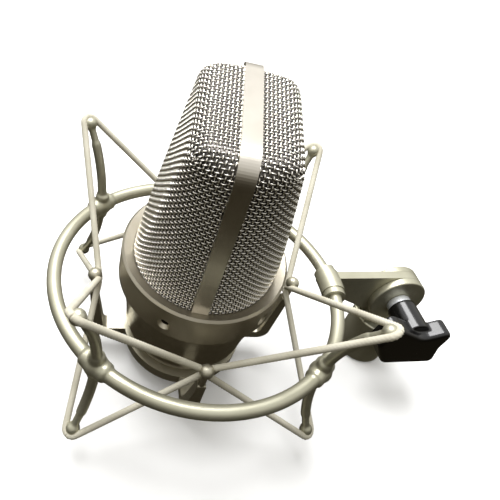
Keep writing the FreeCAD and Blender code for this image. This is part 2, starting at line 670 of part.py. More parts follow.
def band_outline(reach, top, corner):
    """Side view of the strap: straight up, round the corner, and across the top."""
    foot = DECK_TOP
    turn = corner * (1 - math.sqrt(0.5))
    front = Part.Arc(
        Vector(0, -reach, top - corner), Vector(0, turn - reach, top - turn), Vector(0, corner - reach, top)
    )
    back = Part.Arc(
        Vector(0, reach - corner, top), Vector(0, reach - turn, top - turn), Vector(0, reach, top - corner)
    )
    return Part.Wire([
        Part.makeLine(Vector(0, -reach, foot), Vector(0, -reach, top - corner)),
        front.toShape(),
        Part.makeLine(Vector(0, corner - reach, top), Vector(0, reach - corner, top)),
        back.toShape(),
        Part.makeLine(Vector(0, reach, top - corner), Vector(0, reach, foot)),
        Part.makeLine(Vector(0, reach, foot), Vector(0, -reach, foot)),
    ])


def grille_band():
    """Strap over the head that joins the two grille halves; its feet stand on the deck inside the collar."""
    solids = []
    for proud in (BAND_PROUD, BAND_PROUD - BAND_DEPTH):
        face = Part.Face(band_outline(HEAD_R + proud, HEAD_TOP + proud, HEAD_END_ROUND + proud))
        face.translate(Vector(-BAND_HALF, 0, 0))
        solids.append(face.extrude(Vector(2 * BAND_HALF, 0, 0)))
    strap = solids[0].cut(solids[1])
    collar_space = tube(2 * BODY_R, HEAD_R + BAND_FIT, 0, COLLAR_TOP - COLLAR_RIM_DROP + BAND_LIFT)
    return strap.cut(collar_space)


# --- ribbon motor and electronics ---------------------------------------------------------------------
MOTOR_TOP = MOTOR_BASE + RIBBON_LENGTH + 2 * FRAME_WALL
INNER_HALF = RIBBON_WIDTH / 2 + RIBBON_GAP
POLE_OUT = INNER_HALF + POLE_WIDTH
MAGNET_OUT = POLE_OUT + MAGNET_WIDTH
FRAME_OUT = MAGNET_OUT + FRAME_WALL
RAIL_TOP = DECK_TOP - DECK_H
TRANSFORMER_LOW = BASE_TOP + PLINTH_H


def deck():
    """Turned plate that carries the head and closes the housing."""
    low = DECK_TOP - DECK_H
    plate_solid = Part.makeCylinder(COLLAR_INNER_R, DECK_H, Vector(0, 0, low))
    holes = [Part.makeCylinder(LEAD_HOLE_R, DECK_H, Vector(x, LEAD_Y, low)) for x in (-LEAD_X, LEAD_X)]
    return plate_solid.cut(Part.makeCompound(holes))


def ribbon():
    """Corrugated foil; the folds run across its width."""
    folds = int(RIBBON_LENGTH / RIBBON_PITCH)
    low = MOTOR_BASE + FRAME_WALL
    step = RIBBON_LENGTH / (2 * folds)
    half = RIBBON_DEPTH / 2
    front = []
    for i in range(2 * folds + 1):
        sway = half if i % 2 else -half
        front.append((sway, low + i * step))
    back = [(x + RIBBON_THICK, z) for x, z in front]
    points = [Vector(x, -RIBBON_WIDTH / 2, z) for x, z in front + back[::-1]]
    face = Part.Face(Part.makePolygon(points + points[:1]))
    return face.extrude(Vector(0, RIBBON_WIDTH, 0))


def motor_frame():
    """Steel yoke: a rectangular window that the magnets stand in."""
    half = FRAME_DEPTH / 2
    outer = box(-half, half, -FRAME_OUT, FRAME_OUT, MOTOR_BASE, MOTOR_TOP)
    window = box(-half, half, -MAGNET_OUT, MAGNET_OUT, MOTOR_BASE + FRAME_WALL, MOTOR_TOP - FRAME_WALL)
    return outer.cut(window)


def magnet(side):
    low, high = sorted((side * POLE_OUT, side * MAGNET_OUT))
    half = MAGNET_DEPTH / 2
    return box(-half, half, low, high, MOTOR_BASE + FRAME_WALL, MOTOR_TOP - FRAME_WALL)


def pole_piece(side):
    """Wedge that narrows the field to the ribbon's edge."""
    inner, outer = side * INNER_HALF, side * POLE_OUT
    half_in = POLE_DEPTH / 2 - POLE_TAPER_IN
    half_out = POLE_DEPTH / 2 + POLE_TAPER_OUT
    points = [(-half_in, inner), (half_in, inner), (half_out, outer), (-half_out, outer)]
    low = MOTOR_BASE + FRAME_WALL + POLE_END_GAP
    corners = [Vector(x, y, low) for x, y in points]
    face = Part.Face(Part.makePolygon(corners + corners[:1]))
    return face.extrude(Vector(0, 0, RIBBON_LENGTH - 2 * POLE_END_GAP))


def ribbon_clamp(low):
    """Insulating jaws that pinch one end of the ribbon, as two bars."""
    bars = []
    for side in (-1, 1):
        x_low, x_high = sorted((side * (RIBBON_DEPTH / 2 + CLAMP_SLOT), side * CLAMP_DEPTH))
        bars.append(box(x_low, x_high, -POLE_OUT, POLE_OUT, low, low + CLAMP_H))
    return Part.makeCompound(bars)


def clamp_screws():
    screws = []
    inset = FRAME_WALL + CLAMP_H / 2
    for height in (MOTOR_BASE + inset, MOTOR_TOP - inset):
        for y in (-CLAMP_SCREW_Y, CLAMP_SCREW_Y):
            start = Vector(CLAMP_DEPTH, y, height)
            screws.append(Part.makeCylinder(CLAMP_SCREW_R, CLAMP_SCREW_HEAD, start, Vector(1, 0, 0)))
    return Part.makeCompound(screws)


def motor_mount():
    """Cross-bar under the motor, standing on two rubber bushes."""
    low = MOTOR_BASE - MOUNT_H
    bar = box(-MOUNT_HALF, MOUNT_HALF, -FRAME_OUT, FRAME_OUT, low, MOTOR_BASE)
    holes = [Part.makeCylinder(MOUNT_SCREW_R, MOUNT_H, Vector(0, y, low)) for y in (-BUSH_Y, BUSH_Y)]
    return bar.cut(Part.makeCompound(holes))


def isolators():
    bushes = []
    for y in (-BUSH_Y, BUSH_Y):
        bush = tube(BUSH_R, BUSH_BORE_R, DECK_TOP, MOTOR_BASE - MOUNT_H)
        bush.translate(Vector(0, y, 0))
        bushes.append(bush)
    return Part.makeCompound(bushes)


def signal_leads():
    """Two insulated wires from the transformer up through the deck to the motor's mount."""
    leads = []
    for side in (-1, 1):
        foot = Vector(side * LEAD_X, LEAD_Y, TRANSFORMER_LOW + CORE_H)
        bend = Vector(side * LEAD_X, LEAD_Y, MOTOR_BASE - LEAD_DROP)
        end = Vector(side * MOUNT_HALF, LEAD_Y, MOTOR_BASE - LEAD_DROP)
        wire = rod(LEAD_R, foot, bend).fuse(Part.makeSphere(LEAD_R, bend)).fuse(rod(LEAD_R, bend, end))
        leads.append(wire)
    return Part.makeCompound(leads)


def chassis_rail(side):
    """Post between the base and the deck."""
    return rod(RAIL_R, Vector(side * RAIL_RADIUS, 0, BASE_TOP), Vector(side * RAIL_RADIUS, 0, RAIL_TOP))


def transformer_core():
    """Laminated frame of the step-up transformer."""
    outer = box(-CORE_HALF, CORE_HALF, CORE_BACK, CORE_FRONT, TRANSFORMER_LOW, TRANSFORMER_LOW + CORE_H)
    low = TRANSFORMER_LOW + CORE_YOKE
    windows = []
    for x in (-LIMB_HALF - CORE_WINDOW_W, LIMB_HALF):
        windows.append(box(x, x + CORE_WINDOW_W, CORE_BACK, CORE_FRONT, low, low + CORE_WINDOW_H))
    return outer.cut(Part.makeCompound(windows))


def transformer_winding():
    """Coil round the middle limb."""
    low = TRANSFORMER_LOW + CORE_YOKE + COIL_GAP
    high = low + CORE_WINDOW_H - 2 * COIL_GAP
    coil = box(-COIL_HALF, COIL_HALF, COIL_BACK, COIL_FRONT, low, high)
    return coil.cut(box(-LIMB_HALF, LIMB_HALF, CORE_BACK, CORE_FRONT, low, high))


def transformer_base():
    return box(-CORE_HALF, CORE_HALF, CORE_BACK, CORE_FRONT, BASE_TOP, TRANSFORMER_LOW)


def circuit_board():
    low, high = BASE_TOP + PLINTH_H, RAIL_TOP - BOARD_TOP_GAP
    return box(-BOARD_HALF, BOARD_HALF, BOARD_OUTER, BOARD_INNER, low, high)


def board_parts():
    """Capacitors and resistors standing on the board's outer side."""
    foot = BASE_TOP + PLINTH_H
    items = []
    for x, height, radius, length in CAPACITORS:
        start = Vector(x, BOARD_OUTER, foot + height)
        items.append(Part.makeCylinder(radius, length, start, Vector(0, -1, 0)))
    for x in RESISTOR_X:
        low = Vector(x, BOARD_OUTER - RESISTOR_R, foot + RESISTOR_LOW)
        items.append(rod(RESISTOR_R, low, low + Vector(0, 0, RESISTOR_LENGTH)))
    return Part.makeCompound(items)


# --- connector ----------------------------------------------------------------------------------------
PIN_R = 1.2
PIN_CIRCLE = 4.5
PIN_LENGTH = 10.0
PIN_ROUND = 0.9
INSERT_LOW = -31.0
INSERT_H = 2.2


def connector_insert():
    """Insulating disc of the three-pin male connector."""
    disc = Part.makeCylinder(STEM_BORE_R, INSERT_H, Vector(0, 0, INSERT_LOW))
    return disc.cut(connector_pins())


def connector_pins():
    pins = []
    for azimuth in (-90, 30, 150):
        tip = polar(PIN_CIRCLE, azimuth, INSERT_LOW - PIN_LENGTH)
        pin = rod(PIN_R, tip, polar(PIN_CIRCLE, azimuth, INSERT_LOW + INSERT_H))
        rim = [e for e in pin.Edges if len(e.Vertexes) == 1 and e.CenterOfMass.z < INSERT_LOW]
        pins.append(pin.makeFillet(PIN_ROUND, rim))
    return Part.makeCompound(pins)


def build():
    export("stand_adaptor", stand_adaptor(), SWIVEL_FRAME)
    export("thread_insert", thread_insert(), SWIVEL_FRAME)
    export("clamp_bolt", clamp_bolt(), SWIVEL_FRAME)
    export("knob_collar", knob_collar(), SWIVEL_FRAME)
    export("knob_bushing", knob_bushing(), SWIVEL_FRAME)
    export("clamp_knob", clamp_knob(), SWIVEL_FRAME)

    ring = Part.makeTorus(RING_R, RING_TUBE_R)
    struts = [strut(azimuth) for azimuth in STRUT_AZIMUTHS]
    drilled = ring.cut(Part.makeCompound(struts))
    export("ring_tube", drilled, RING_FRAME)
    for k, (azimuth, solid) in enumerate(zip(STRUT_AZIMUTHS, struts), 1):
        export("strut_%d" % k, solid, RING_FRAME)
        export("knuckle_%d" % k, knuckle(azimuth, ring, solid), RING_FRAME)
    export("bracket_arm", bracket_arm(), RING_FRAME)

    export("cradle", cradle(), HANG_FRAME)
    export("cradle_pad", cradle_pad(), HANG_FRAME)
    export("upper_elastic", elastic_loop(True), RING_FRAME)
    export("lower_elastic", elastic_loop(False), RING_FRAME)
    export("lock_washer", lock_washer(), HANG_FRAME)
    export("lock_ring", lock_ring(), HANG_FRAME)

    export("body_collar", body_collar(), HANG_FRAME)
    export("housing_screws", housing_screws(), HANG_FRAME)
    export("body_shell", body_shell(), HANG_FRAME)
    export("base_plug", base_plug(), HANG_FRAME)
    export("deck", deck(), HEAD_FRAME)
    for name, side in (("front", 1), ("rear", -1)):
        export("grille_%s" % name, head_shell(0.0, GRILLE_WALL, side, BAND_HALF), HEAD_FRAME)
        export("screen_%s" % name, head_shell(SCREEN_INSET, SCREEN_WALL, side, 0.05), HEAD_FRAME)
    export("grille_band", grille_band(), HEAD_FRAME)

    export("ribbon", ribbon(), HEAD_FRAME)
    export("motor_frame", motor_frame(), HEAD_FRAME)
    for name, side in (("left", -1), ("right", 1)):
        export("magnet_%s" % name, magnet(side), HEAD_FRAME)
        export("pole_piece_%s" % name, pole_piece(side), HEAD_FRAME)
        export("chassis_rail_%s" % name, chassis_rail(side), HEAD_FRAME)
    export("ribbon_clamp_top", ribbon_clamp(MOTOR_TOP - FRAME_WALL - 3.0), HEAD_FRAME)
    export("ribbon_clamp_bottom", ribbon_clamp(MOTOR_BASE + FRAME_WALL), HEAD_FRAME)
    export("clamp_screws", clamp_screws(), HEAD_FRAME)
    export("motor_mount", motor_mount(), HEAD_FRAME)
    export("isolators", isolators(), HEAD_FRAME)
    export("transformer_core", transformer_core(), HEAD_FRAME)
    export("transformer_winding", transformer_winding(), HEAD_FRAME)
    export("transformer_base", transformer_base(), HEAD_FRAME)
    export("signal_leads", signal_leads(), HEAD_FRAME)
    export("circuit_board", circuit_board(), HEAD_FRAME)
    export("board_parts", board_parts(), HEAD_FRAME)
    export("connector_insert", connector_insert(), HEAD_FRAME)
    export("connector_pins", connector_pins(), HEAD_FRAME)


os.makedirs("parts", exist_ok=True)
build()
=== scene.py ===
import json
import math

import bpy
import numpy as np
from mathutils import Matrix, Vector


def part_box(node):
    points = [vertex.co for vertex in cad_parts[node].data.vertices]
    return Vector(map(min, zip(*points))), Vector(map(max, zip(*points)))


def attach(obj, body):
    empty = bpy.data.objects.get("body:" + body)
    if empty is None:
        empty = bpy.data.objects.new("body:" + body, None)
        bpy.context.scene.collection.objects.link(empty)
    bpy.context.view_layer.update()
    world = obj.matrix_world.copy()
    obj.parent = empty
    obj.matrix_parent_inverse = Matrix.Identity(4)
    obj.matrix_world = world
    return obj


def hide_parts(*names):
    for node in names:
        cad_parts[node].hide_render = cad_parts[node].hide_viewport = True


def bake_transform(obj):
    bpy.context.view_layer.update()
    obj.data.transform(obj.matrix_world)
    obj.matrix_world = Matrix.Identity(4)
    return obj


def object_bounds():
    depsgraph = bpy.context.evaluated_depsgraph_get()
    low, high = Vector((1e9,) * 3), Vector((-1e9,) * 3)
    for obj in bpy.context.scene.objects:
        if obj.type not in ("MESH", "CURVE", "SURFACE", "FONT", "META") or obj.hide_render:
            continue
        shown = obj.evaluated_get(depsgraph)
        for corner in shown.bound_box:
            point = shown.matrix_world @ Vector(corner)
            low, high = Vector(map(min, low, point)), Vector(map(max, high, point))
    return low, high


# Looks of a side-address microphone in its ring suspension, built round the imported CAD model.
# Lengths are in metres where nothing else is said; MM turns millimetres into metres.

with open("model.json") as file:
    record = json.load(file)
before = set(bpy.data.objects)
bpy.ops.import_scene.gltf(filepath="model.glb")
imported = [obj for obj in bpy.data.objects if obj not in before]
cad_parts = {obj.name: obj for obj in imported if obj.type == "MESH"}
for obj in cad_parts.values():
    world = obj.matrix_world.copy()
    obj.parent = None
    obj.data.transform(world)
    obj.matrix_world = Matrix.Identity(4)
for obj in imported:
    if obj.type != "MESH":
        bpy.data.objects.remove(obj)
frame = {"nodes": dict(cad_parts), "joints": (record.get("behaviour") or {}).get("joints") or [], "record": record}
cad_low, cad_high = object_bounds()

MM = 0.001
TINY = 1e-9                    # keeps divisions by a length away from zero

# --- dimensions shared with the CAD model, in millimetres and degrees ---------------------------------
HEAD_TURN = -15.1              # turn of the head about the microphone's axis
HEAD_R = 25.8                  # drum that bounds the head's narrow sides
WEDGE_START = 15.6             # height at which the wedge's faces leave the drum
HEAD_TOP = 80.0
HEAD_TOP_HALF = 15.0           # half the wedge's thickness at the top
EDGE_ROUND = 4.4               # rounding of the top over the wedge's faces
END_ROUND = 8.0                # rounding of the top over the narrow sides
ARMS = 4                       # arms of the cradle; a strut stands halfway between two arms
FIRST_ARM = -5.0               # azimuth of the first arm

# --- places read from the frame -----------------------------------------------------------------------
ring_low, ring_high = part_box("ring_tube")
RING_CENTRE = (ring_low + ring_high) / 2
turn_joint = next(joint for joint in frame["joints"] if joint["name"] == "microphone_turn")
MIC_AXIS = Vector(turn_joint["axis"])
LEAN = Vector((0, 0, 1)).rotation_difference(MIC_AXIS).to_matrix().to_4x4()
HANG = Matrix.Translation(Vector(turn_joint["pos_m"])) @ LEAN
HEAD = HANG @ Matrix.Rotation(math.radians(HEAD_TURN), 4, "Z")


# ======================================================================================================
# Materials. The noise is in object coordinates, so its scale is per metre.
# ======================================================================================================
NOISE_DETAIL = 4.0
NOISE_ROUGHNESS = 0.55
PATCHES_METAL = 45.0           # scale of the faint patches of tone
PATCHES_WIRE = 300.0
PATCHES_PLASTIC = 60.0
PATCH_STOPS = (0.35, 0.65)
METAL_SPREAD = (-0.05, 0.06)   # how far the patches shift the roughness down and up
PLASTIC_SPREAD = (-0.03, 0.05)
COAT_ROUGHNESS = 0.06
GRAIN_DETAIL = 2.0
GRAIN_DEPTH = 0.00002
CROWN_SHADE = "crown_shade"              # attribute of the woven wires for their painted shade and highlight: 0 where a wire dips, 1 on its crowns
CROWN_SHADE_STOPS = (0.3, 0.8)


def new_material(name):
    """A material with a principled shader; returns (material, nodes, links, shader)."""
    material = bpy.data.materials.new(name)
    material.use_nodes = True
    tree = material.node_tree
    shader = next(node for node in tree.nodes if node.type == "BSDF_PRINCIPLED")
    return material, tree.nodes, tree.links, shader


def noise(nodes, links, scale, detail=NOISE_DETAIL):
    """Noise in object coordinates."""
    where = nodes.new("ShaderNodeTexCoord")
    texture = nodes.new("ShaderNodeTexNoise")
    texture.inputs["Scale"].default_value = scale
    texture.inputs["Detail"].default_value = detail
    texture.inputs["Roughness"].default_value = NOISE_ROUGHNESS
    links.new(where.outputs["Object"], texture.inputs["Vector"])
    return texture.outputs["Fac"]


def ramp(nodes, links, value, low, high, at=PATCH_STOPS):
    """Colour ramp between two linear colours."""
    node = nodes.new("ShaderNodeValToRGB")
    node.color_ramp.elements[0].position, node.color_ramp.elements[1].position = at
    node.color_ramp.elements[0].color = (*low, 1)
    node.color_ramp.elements[1].color = (*high, 1)
    links.new(value, node.inputs["Fac"])
    return node.outputs["Color"]


def vary_roughness(nodes, links, shader, patches, roughness, spread):
    """Shift the roughness down and up with the patches."""
    node = nodes.new("ShaderNodeMapRange")
    node.inputs["To Min"].default_value = roughness + spread[0]
    node.inputs["To Max"].default_value = roughness + spread[1]
    links.new(patches, node.inputs["Value"])
    links.new(node.outputs["Result"], shader.inputs["Roughness"])


def add_grain(nodes, links, shader, scale, strength):
    """Fine grain of the surface."""
    node = nodes.new("ShaderNodeBump")
    node.inputs["Strength"].default_value = strength
    node.inputs["Distance"].default_value = GRAIN_DEPTH
    links.new(noise(nodes, links, scale, GRAIN_DETAIL), node.inputs["Height"])
    links.new(node.outputs["Normal"], shader.inputs["Normal"])


def metal(name, low, high, roughness, grain=900.0, grain_strength=0.25, metallic=1.0):
    """Coated or machined metal: faint patches of tone and a fine grain."""
    material, nodes, links, shader = new_material(name)
    patches = noise(nodes, links, PATCHES_METAL)
    links.new(ramp(nodes, links, patches, low, high), shader.inputs["Base Color"])
    vary_roughness(nodes, links, shader, patches, roughness, METAL_SPREAD)
    shader.inputs["Metallic"].default_value = metallic
    add_grain(nodes, links, shader, grain, grain_strength)
    return material


def wire_metal(name, dip_shade, bright, roughness):
    """Woven wire whose colour is painted light: a painted highlight on the crowns and painted shade where it dips.
    """
    material, nodes, links, shader = new_material(name)
    crown_shade = nodes.new("ShaderNodeAttribute")
    crown_shade.attribute_name = CROWN_SHADE
    tone = ramp(nodes, links, crown_shade.outputs["Fac"], dip_shade, bright, CROWN_SHADE_STOPS)
    links.new(tone, shader.inputs["Base Color"])
    vary_roughness(nodes, links, shader, noise(nodes, links, PATCHES_WIRE), roughness, METAL_SPREAD)
    shader.inputs["Metallic"].default_value = 1.0
    return material


def plastic(name, low, high, roughness, grain=700.0, grain_strength=0.1, coat=0.0):
    """Moulded plastic, rubber, varnish or cord: a fine grain, and a clear coat where it has one."""
    material, nodes, links, shader = new_material(name)
    patches = noise(nodes, links, PATCHES_PLASTIC)
    links.new(ramp(nodes, links, patches, low, high), shader.inputs["Base Color"])
    vary_roughness(nodes, links, shader, patches, roughness, PLASTIC_SPREAD)
    shader.inputs["Coat Weight"].default_value = coat
    shader.inputs["Coat Roughness"].default_value = COAT_ROUGHNESS
    add_grain(nodes, links, shader, grain, grain_strength)
    return material


FRAME_SATIN = metal("frame_satin", (0.47, 0.455, 0.345), (0.57, 0.555, 0.435), 0.38, metallic=0.7)
SATIN = metal("satin_nickel", (0.52, 0.48, 0.39), (0.60, 0.56, 0.47), 0.36)
# a lighter copy of the body's satin nickel: the band's extra brightness is painted light, for its brightly lit top
BAND_SATIN_LIT = metal("band_satin_painted_light", (0.66, 0.62, 0.55), (0.74, 0.70, 0.63), 0.30)
CRADLE_SATIN = metal("cradle_satin", (0.48, 0.46, 0.36), (0.58, 0.55, 0.45), 0.40, metallic=0.85)
# the wires' base colour is painted light: dark painted shade where a wire dips, a bright painted highlight on its
# crowns
WIRE = wire_metal("nickel_wire", (0.13, 0.12, 0.105), (0.96, 0.93, 0.87), 0.16)
GAUZE = metal(
    "fine_gauze", (0.20, 0.185, 0.175), (0.28, 0.26, 0.245), 0.42, grain=2500.0, grain_strength=0.6,
)
PLATE = metal("bright_plate", (0.72, 0.73, 0.74), (0.80, 0.81, 0.82), 0.16, grain_strength=0.05)
STEEL = metal("machined_steel", (0.38, 0.38, 0.38), (0.48, 0.48, 0.47), 0.35)
MAGNET = metal("magnet_plate", (0.30, 0.30, 0.32), (0.38, 0.38, 0.40), 0.25)
BRASS = metal("machined_brass", (0.60, 0.42, 0.16), (0.72, 0.53, 0.24), 0.28)
COPPER = metal("enamelled_copper", (0.42, 0.15, 0.05), (0.55, 0.22, 0.08), 0.32)
FOIL = metal("ribbon_foil", (0.78, 0.79, 0.80), (0.88, 0.89, 0.90), 0.22)
LAMINATE = metal("core_laminate", (0.16, 0.15, 0.14), (0.24, 0.23, 0.22), 0.45, grain=1800.0)
BLACK_GLOSS = plastic("knob_black", (0.0015, 0.0015, 0.002), (0.003, 0.003, 0.004), 0.24, coat=0.4)
KNOB_RING = metal("knob_ring", (0.74, 0.77, 0.82), (0.84, 0.86, 0.90), 0.3, metallic=0.45)
# near-black steel for the housing screws: painted shade standing in for the shade in their recesses
RECESS_SHADE_STEEL = metal("steel_painted_recess_shade", (0.03, 0.028, 0.025), (0.06, 0.055, 0.05), 0.4)
PHENOLIC = plastic("black_phenolic", (0.02, 0.02, 0.02), (0.04, 0.038, 0.036), 0.5)
RUBBER = plastic("pad_rubber", (0.015, 0.015, 0.015), (0.03, 0.03, 0.03), 0.75, grain_strength=0.3)
BOARD = plastic("board_green", (0.01, 0.12, 0.05), (0.02, 0.18, 0.08), 0.35)
SLEEVE_BLUE = plastic("capacitor_sleeve", (0.02, 0.04, 0.20), (0.03, 0.06, 0.28), 0.3)
SLEEVE_RED = plastic("wire_sleeve", (0.40, 0.03, 0.02), (0.50, 0.05, 0.03), 0.4)
CORD = plastic(
    "braided_elastic", (0.52, 0.49, 0.39), (0.68, 0.65, 0.54), 0.75, grain=2600.0, grain_strength=0.6,
)

SLOT_MATERIALS = {
    "satin_nickel": SATIN, "woven_nickel": WIRE, "fine_gauze": GAUZE, "bright_plate": PLATE,
    "knob_black": BLACK_GLOSS, "braid": CORD, "pad_rubber": RUBBER, "brass": BRASS, "steel": STEEL,
    "magnet_steel": MAGNET, "ribbon_foil": FOIL, "insulator": PHENOLIC, "core_laminate": LAMINATE,
    "winding": COPPER, "board_green": BOARD, "capacitor_blue": SLEEVE_BLUE, "wire_sleeve": SLEEVE_RED,
    "contact": BRASS,
}
# The microphone has a purer nickel tone than the suspension, which shares its slot.
BODY_PARTS = ("body_collar", "body_shell", "base_plug", "grille_band", "deck", "lock_ring", "lock_washer")
# the housing screws get the near-black steel, painted shade for their recesses
OWN_MATERIALS = {"housing_screws": RECESS_SHADE_STEEL, "cradle": CRADLE_SATIN, "knob_collar": KNOB_RING}
for part in frame["record"]["subparts"]:
    mesh = frame["nodes"][part["node"]].data
    mesh.materials.clear()
    material = SLOT_MATERIALS[part["material_slot"]]
    if material is SATIN and part["node"] not in BODY_PARTS:
        material = FRAME_SATIN
    mesh.materials.append(OWN_MATERIALS.get(part["node"], material))


# ======================================================================================================
# Mesh helpers
# ======================================================================================================
def soften(mesh):
    """Smooth shading on every face."""
    mesh.polygons.foreach_set("use_smooth", [True] * len(mesh.polygons))


def new_piece(name, vertices, faces, material):
    """A smooth mesh piece made from points in metres, in the row frame."""
    mesh = bpy.data.meshes.new(name)
    mesh.from_pydata(np.asarray(vertices, float).tolist(), [], faces)
    soften(mesh)
    mesh.materials.append(material)
    piece = bpy.data.objects.new(name, mesh)
    bpy.context.scene.collection.objects.link(piece)
    return piece


def placed(matrix, points):
    """Points in millimetres in a local frame, as points in metres in the row frame."""
    m = np.array(matrix)
    return (np.asarray(points, float) * MM) @ m[:3, :3].T + m[:3, 3]


def unit(vectors):
    """One vector or an array of vectors, each at length 1."""
    return vectors / np.linalg.norm(vectors, axis=-1, keepdims=True)


def ring_turns(sides):
    """Angles of a tube's points round its path."""
    return np.arange(sides) * 2 * math.pi / sides


def tube_quads(rings, sides):
    """Faces between the rings of a tube whose points are numbered ring after ring."""
    first = (np.arange(rings - 1) * sides)[:, None]
    side = np.arange(sides)[None]
    here, beside = first + side, first + (side + 1) % sides
    return np.stack([here, beside, beside + sides, here + sides], -1).reshape(-1, 4)


# ======================================================================================================
# Woven grille, in millimetres. Local frame of the head: Y along the wedge's edges, its faces at +X and -X.
# One quarter is draped and mirrored. The side net runs up from the foot, the top net runs out from the
# middle of the top, and they merge over the last rows below the rounded edges.
# ======================================================================================================
PITCH = 1.22
FOOT = 14.8                    # height at which the weave disappears into the collar
ROW_WIRE_R = 0.22
COLUMN_WIRE_R = 0.215
WIRE_SIDES = 6
WIRE_STEPS = 4                 # rings of a wire's tube per crossing
CROWN = 0.27                   # how far a wire's centreline rises and dips at each crossing
SKIN = ROW_WIRE_R + CROWN      # the weave's middle surface lies this far inside the head's outline
SLOPE = (HEAD_R - HEAD_TOP_HALF) / (HEAD_TOP - WEDGE_START)
SIDE_ROUND = 5.5               # rounding where a wedge face meets the narrow side
SIDE_COLUMNS = 32
CORNER = 18                    # first column of the narrow side
TOP_COLUMN = 28                # last column that reaches the top beside the band
TOP_X = 1.7                    # where that column lies on the top
LAST_ROW = 52
MERGE_ROWS = 20
RELAXING = 60                  # smoothing passes over the rows where the two nets merge
SCREEN_GAP = 0.95              # the gauze lies this far under the weave's middle surface
UNDER_BAND = 2.0               # wires end this far from the middle, below the band
NORMAL_STEP = 0.02             # step for the slope of the signed distance
CELL_PASSES = 5                # Newton steps that place one crossing


def join_rounded(a, b, r, cosine=0.0):
    """Signed distance to what lies inside both a and b, with a rounded edge.

    a and b are signed distances to the two, and cosine is that of the angle between their normals.
    """
    u, v = a + r, b + r
    corner = np.sqrt(np.maximum(u * u + v * v - 2 * u * v * cosine, 0) / (1 - cosine * cosine)) - r
    return np.where((u > v * cosine) & (v > u * cosine), corner, np.maximum(a, b))


def head_distance(p):
    """Signed distance to the weave's middle surface."""
    x, y, z = p[..., 0], p[..., 1], p[..., 2]
    reach = np.hypot(x, y)
    steepness = math.hypot(1, SLOPE)
    drum = reach - (HEAD_R - SKIN)
    face = (np.abs(x) - HEAD_TOP_HALF - (HEAD_TOP - z) * SLOPE) / steepness + SKIN
    top = z - (HEAD_TOP - SKIN)
    share = np.clip((drum - face) / SIDE_ROUND / 2 + 0.5, 0, 1)
    rim = EDGE_ROUND + (END_ROUND - EDGE_ROUND) * share - SKIN
    sides = join_rounded(drum, face, SIDE_ROUND, np.abs(x) / np.maximum(reach, TINY) / steepness)
    return join_rounded(sides, top, rim)


def head_normal(p):
    """Outward normals of the middle surface at the points p."""
    slopes = []
    for axis in range(3):
        shift = np.zeros(3)
        shift[axis] = NORMAL_STEP
        slopes.append(head_distance(p + shift) - head_distance(p - shift))
    normal = np.stack(slopes, -1)
    return normal / np.maximum(np.linalg.norm(normal, axis=-1, keepdims=True), TINY)


def on_head(p, passes=3):
    """The points p, moved onto the middle surface."""
    for _ in range(passes):
        p = p - head_normal(p) * head_distance(p)[..., None]
    return p


def net_step(a, b, c):
    """The crossing one pitch from both a and b, across the mesh cell from c."""
    p = on_head(a + b - c, passes=2)
    for _ in range(CELL_PASSES):
        da, db = p - a, p - b
        la, lb = np.linalg.norm(da), np.linalg.norm(db)
        rows = np.stack([da / la, db / lb, head_normal(p)])
        p = p - np.linalg.solve(rows, np.array([la - PITCH, lb - PITCH, head_distance(p)]))
    return p


def walk(start, way, count):
    """Points one pitch apart on the surface, keeping to a direction."""
    points = [on_head(np.array(start, float))]
    heading = np.array(way, float)
    for _ in range(count - 1):
        here = points[-1]
        normal = head_normal(here)
        ahead = unit(heading - normal * heading.dot(normal))
        there = on_head(here + ahead * PITCH)
        there = on_head(here + unit(there - here) * PITCH)
        heading = there - here
        points.append(there)
    return points


def drape(first_row, first_column):
    """Net of equal cells on the head's surface from its first row and first column."""
    net = np.zeros((len(first_column), len(first_row), 3))
    net[0] = first_row
    net[:, 0] = first_column
    for i in range(1, len(first_column)):
        for j in range(1, len(first_row)):
            net[i, j] = net_step(net[i, j - 1], net[i - 1, j], net[i - 1, j - 1])
    return net


def merged_nets():
    """Crossings of one quarter: side[row, column] and top[column, line], whose columns join up."""
    radius = HEAD_R - SKIN
    angles = [2 * j * math.asin(PITCH / 2 / radius) for j in range(SIDE_COLUMNS)]
    foot = [(radius * math.cos(a), radius * math.sin(a), FOOT) for a in angles]
    side = np.zeros((LAST_ROW + 1, SIDE_COLUMNS, 3))
    side[:LAST_ROW - MERGE_ROWS + 1] = drape(foot, walk(foot[0], (0, 0, 1), LAST_ROW - MERGE_ROWS + 1))
    start = (TOP_X, 0, HEAD_TOP - SKIN)
    inwards = TOP_COLUMN - CORNER + 1
    top = drape(walk(start, (0, 1, 0), CORNER + 1), walk(start, (1, 0, 0), inwards + 1))
    last = side[LAST_ROW]
    last[:CORNER] = top[inwards, :CORNER]
    last[CORNER:TOP_COLUMN + 1] = top[inwards - 1::-1, CORNER]
    for j in range(TOP_COLUMN + 1, SIDE_COLUMNS):
        last[j] = on_head(2 * last[j - 1] - last[j - 2])
    merge = side[LAST_ROW - MERGE_ROWS:]
    share = (np.arange(MERGE_ROWS + 1) / MERGE_ROWS)[:, None, None]
    merge[:] = on_head(merge[0] * (1 - share) + merge[-1] * share)
    for _ in range(RELAXING):
        wide = np.concatenate([merge[:, 1:2] * (1, -1, 1), merge, 2 * merge[:, -1:] - merge[:, -2:-1]], 1)
        merge[1:-1] = (wide[1:-1, :-2] + wide[1:-1, 2:] + wide[:-2, 1:-1] + wide[2:, 1:-1]) / 4
        merge[1:-1] = on_head(merge[1:-1], passes=1)
    return side, top[inwards - 1::-1, :CORNER]


def mirror(points, x_sign, y_sign):
    """Points of the quarter, in the quarter with these signs."""
    return np.asarray(points) * (x_sign, y_sign, 1)


